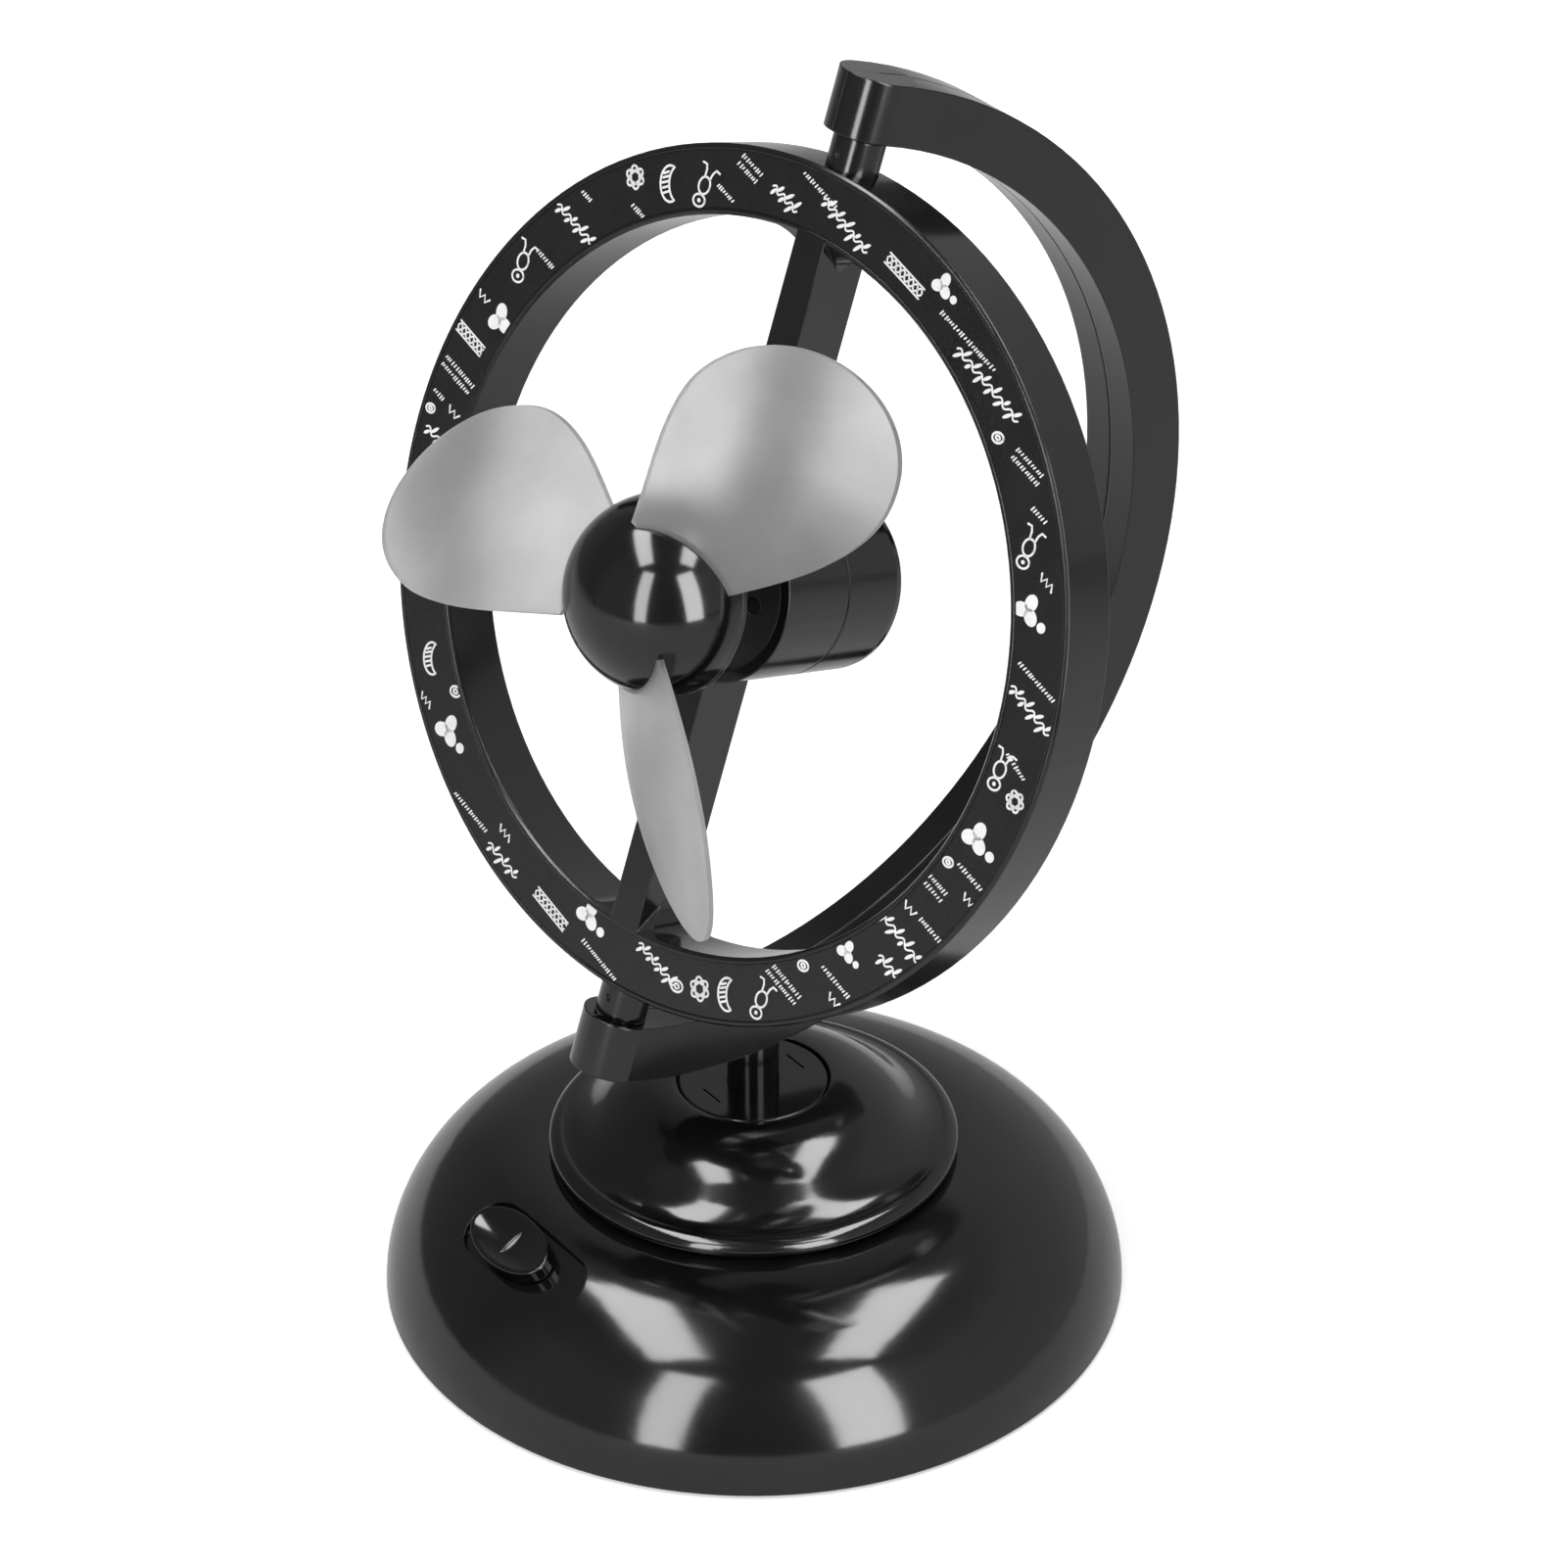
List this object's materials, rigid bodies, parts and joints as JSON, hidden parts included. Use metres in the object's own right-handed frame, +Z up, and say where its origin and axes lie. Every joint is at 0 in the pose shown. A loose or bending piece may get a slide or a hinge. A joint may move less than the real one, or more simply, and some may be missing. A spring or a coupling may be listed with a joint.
{
  "type": "desk fan",
  "caption": "Small battery desk fan: domed base with slide switch, leaning C-shaped arm, turning guard ring with crossbar, pod motor and soft translucent blades.",
  "frame": {"origin": "on the table top, under the middle of the whole fan's box; the centre of the round base is 11.1 mm from it towards -X", "axes": "+Z up; the C-shaped arm lies in the XZ plane with its closed side towards +X; the front of the fan, seen from the picture's side, is towards -X and -Y"},
  "size_m": [0.1632, 0.1556, 0.2434],
  "materials": {
    "gloss_black": "gloss",
    "arm_plastic": "semi-gloss",
    "satin_black": "satin",
    "face_print": null,
    "frosted_blade": "frosted translucent soft plastic",
    "feet_rubber": "matte",
    "screw_steel": "zinc plated",
    "motor_steel": "plated",
    "contact_metal": "nickel plated",
    "bush_brass": "turned",
    "ballast_iron": "raw",
    "inner_plastic": "matte",
    "cell_jacket": "printed sleeve, plain",
    "wire_jacket": "soft insulation"
  },
  "bodies": {
    "base": {"base_shell": "gloss_black", "base_plate": "satin_black", "rubber_feet": "feet_rubber", "base_screws": "screw_steel", "battery_box": "inner_plastic", "battery_cells": "cell_jacket", "contact_springs": "contact_metal", "contact_plates": "contact_metal", "ballast_block": "ballast_iron", "switch_tray": "satin_black", "switch_body": "inner_plastic", "switch_terminals": "contact_metal", "base_lead": "wire_jacket", "upper_dome": "gloss_black", "dome_screws": "screw_steel"},
    "door": {"battery_door": "satin_black"},
    "knob": {"switch_knob": "gloss_black"},
    "swivel": {"swivel_disc": "gloss_black", "swivel_retainer": "inner_plastic", "stem": "gloss_black", "arm_front": "arm_plastic", "arm_rear": "arm_plastic", "arm_screws": "screw_steel", "pivot_bushes": "bush_brass", "arm_lead": "wire_jacket"},
    "guard": {"upper_pin": "arm_plastic", "lower_pin": "arm_plastic", "ring_body": "arm_plastic", "bar_cover": "satin_black", "face_band": "face_print", "motor_shell": "arm_plastic", "motor_can": "motor_steel", "motor_endcap": "inner_plastic", "motor_magnets": "ballast_iron", "motor_terminals": "contact_metal", "motor_sleeve": "feet_rubber", "motor_cover": "satin_black", "motor_screws": "screw_steel", "ring_lead": "wire_jacket"},
    "rotor": {"motor_shaft": "motor_steel", "armature": "ballast_iron", "hub_core": "satin_black", "hub_nose": "gloss_black", "blade_1": "frosted_blade", "blade_2": "frosted_blade", "blade_3": "frosted_blade"}
  },
  "joints": [
    {"name": "door_release", "type": "slide", "parent": "base", "child": "door", "axis": [0, 0, -1], "range_m": [0, 0.012]},
    {"name": "switch_slide", "type": "slide", "parent": "base", "child": "knob", "axis": [0, -1, 0], "range_m": [0, 0.0078]},
    {"name": "arm_swivel", "type": "hinge", "parent": "base", "child": "swivel", "pos_m": [-0.0111, 0, 0.0413], "axis": [0, 0, 1], "range_deg": [-160, 160]},
    {"name": "ring_turn", "type": "hinge", "parent": "swivel", "child": "guard", "pos_m": [-0.0139, 0, 0.1507], "axis": [0.3173, 0, 0.9483], "continuous": true},
    {"name": "rotor_spin", "type": "hinge", "parent": "guard", "child": "rotor", "pos_m": [-0.0139, 0, 0.1507], "axis": [-0.9321, -0.184, 0.3119], "continuous": true}
  ]
}
